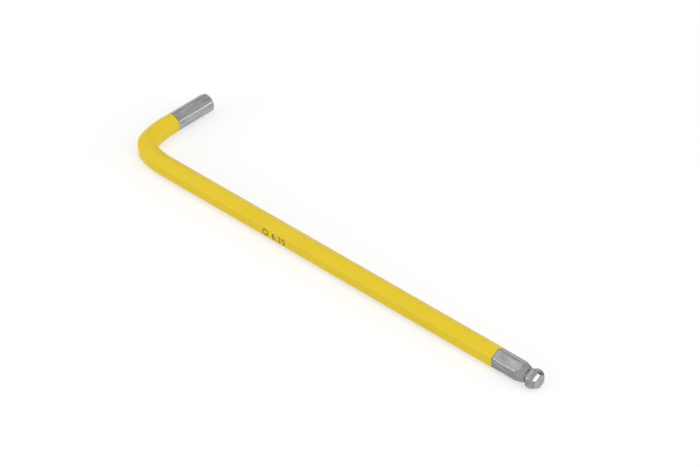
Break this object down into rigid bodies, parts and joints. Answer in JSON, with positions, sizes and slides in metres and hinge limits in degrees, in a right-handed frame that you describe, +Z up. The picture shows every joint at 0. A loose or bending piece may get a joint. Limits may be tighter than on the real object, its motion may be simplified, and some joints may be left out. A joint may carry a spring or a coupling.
{
  "type": "hex key",
  "caption": "L-shaped hexagon wrench with a long and a short arm, a ball end, a chamfered end and a coloured coat that leaves both ends bare.",
  "frame": {"origin": "bottom centre of the bounding box, on the table the key lies on", "axes": "+X along the long arm towards the ball end, +Y along the short arm away from the bend, +Z up from the table"},
  "size_m": [0.1914, 0.0396, 0.0075],
  "materials": {
    "bare_steel": "satin plated, fine grain along the bar, turned marks at the ball end",
    "yellow_coat": "satin hard coat, faintly dimpled"
  },
  "bodies": {
    "root": {"steel_bar": "bare_steel", "colour_coat": "yellow_coat"}
  },
  "joints": []
}
